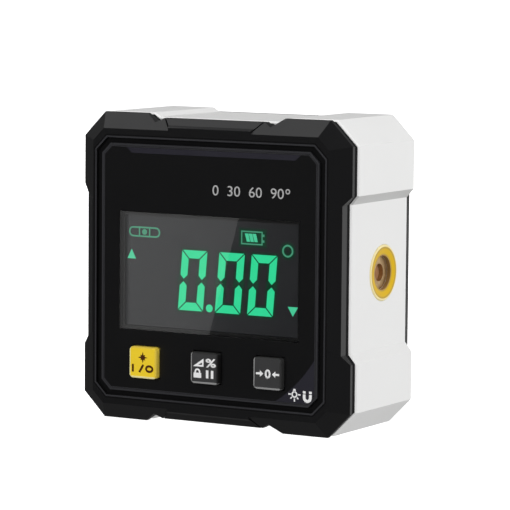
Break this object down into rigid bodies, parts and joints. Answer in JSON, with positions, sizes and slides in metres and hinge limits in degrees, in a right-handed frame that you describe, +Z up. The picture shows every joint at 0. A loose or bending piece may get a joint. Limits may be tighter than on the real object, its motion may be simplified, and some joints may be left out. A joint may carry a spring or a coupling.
{
  "type": "digital inclinometer",
  "caption": "Square box level with a lit angle display, square keys, notched corner ears, a laser opening in its side and a battery bay in its back.",
  "frame": {"origin": "under the middle of the box, on the surface that its lower feet stand on", "axes": "+X to the right as the display is read, +Y from the display to the back, +Z up"},
  "size_m": [0.0594, 0.0298, 0.0598],
  "materials": {
    "bezel": "fine satin grain",
    "seal": "matt",
    "panel": "gloss with printed signs",
    "lens": "clear gloss",
    "display": "dark cell with green lit segments",
    "light_guide": "clear satin",
    "contact_strip": "matt",
    "yellow_key": "satin",
    "grey_keys": "satin",
    "switches": "satin",
    "plungers": "satin",
    "board": "satin solder mask",
    "chips": "matt",
    "tin": "bright",
    "ceramic": "matt",
    "screws": "black zinc",
    "housing": "fine satin grain",
    "ring": "satin",
    "brass": "turned",
    "laser_lens": "clear gloss",
    "cover": "fine satin grain",
    "cells": "printed sleeve",
    "spring_steel": "nickel plated"
  },
  "bodies": {
    "case": {"front_bezel": "bezel", "seal_ring": "seal", "front_panel": "panel", "display_lens": "lens", "lcd_glass": "display", "backlight_guide": "light_guide", "backlight_leds": "light_guide", "lcd_connector": "contact_strip", "power_switch": "switches", "hold_switch": "switches", "zero_switch": "switches", "main_board": "board", "laser_board": "board", "microcontroller": "chips", "tilt_sensor": "chips", "clock_crystal": "tin", "base_magnets": "tin", "board_capacitors": "ceramic", "case_screws": "screws", "board_screws": "screws", "mid_housing": "housing", "laser_ring": "ring", "laser_barrel": "brass", "laser_diode": "brass", "laser_lens": "laser_lens", "rear_cover": "cover", "left_cell": "cells", "right_cell": "cells", "positive_contact": "spring_steel", "negative_contact": "spring_steel", "bridge_contact": "spring_steel"},
    "power_button": {"power_key": "yellow_key", "power_plunger": "plungers"},
    "hold_button": {"hold_key": "grey_keys", "hold_plunger": "plungers"},
    "zero_button": {"zero_key": "grey_keys", "zero_plunger": "plungers"},
    "door": {"battery_door": "cover"}
  },
  "joints": [
    {"name": "power_press", "type": "slide", "parent": "case", "child": "power_button", "axis": [0, 1, 0], "range_m": [0, 0.0003], "stiffness_N_per_m": 2000, "springref_m": -0.0001},
    {"name": "hold_press", "type": "slide", "parent": "case", "child": "hold_button", "axis": [0, 1, 0], "range_m": [0, 0.0003], "stiffness_N_per_m": 2000, "springref_m": -0.0001},
    {"name": "zero_press", "type": "slide", "parent": "case", "child": "zero_button", "axis": [0, 1, 0], "range_m": [0, 0.0003], "stiffness_N_per_m": 2000, "springref_m": -0.0001},
    {"name": "door_swing", "type": "hinge", "parent": "case", "child": "door", "pos_m": [-0.007, 0.01493, 0.0042], "axis": [-1, 0, 0], "range_deg": [0, 40]}
  ]
}
